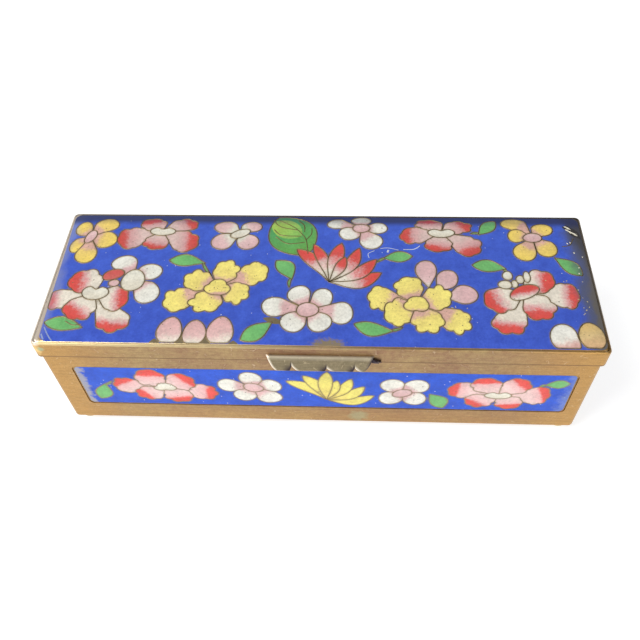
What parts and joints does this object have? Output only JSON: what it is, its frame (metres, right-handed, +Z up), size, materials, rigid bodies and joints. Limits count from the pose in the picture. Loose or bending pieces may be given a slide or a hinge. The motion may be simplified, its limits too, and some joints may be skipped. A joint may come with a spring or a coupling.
{
  "type": "trinket box",
  "caption": "Low oblong brass box on ball feet with flower-patterned cloisonne enamel plaques, a lift-off lid and a scalloped thumb tab.",
  "frame": {"origin": "middle of the footprint, on the surface the feet stand on", "axes": "+X along the length to the right, -Y towards the front with the thumb tab, +Z up"},
  "size_m": [0.11, 0.0376, 0.0309],
  "materials": {
    "brass": "worn satin brass with a brown patina",
    "tarnished_brass": "dull olive-grey tarnish, bright on the worn edges",
    "enamel": "glossy blue cloisonne enamel with flowers in brass wire"
  },
  "bodies": {
    "root": {"body": "brass", "front_enamel_panel": "enamel", "back_enamel_panel": "enamel", "left_enamel_panel": "enamel", "right_enamel_panel": "enamel", "lid": "brass", "lid_enamel": "enamel", "thumb_tab": "tarnished_brass", "foot_front_left": "brass", "foot_front_right": "brass", "foot_back_left": "brass", "foot_back_right": "brass"}
  },
  "joints": []
}
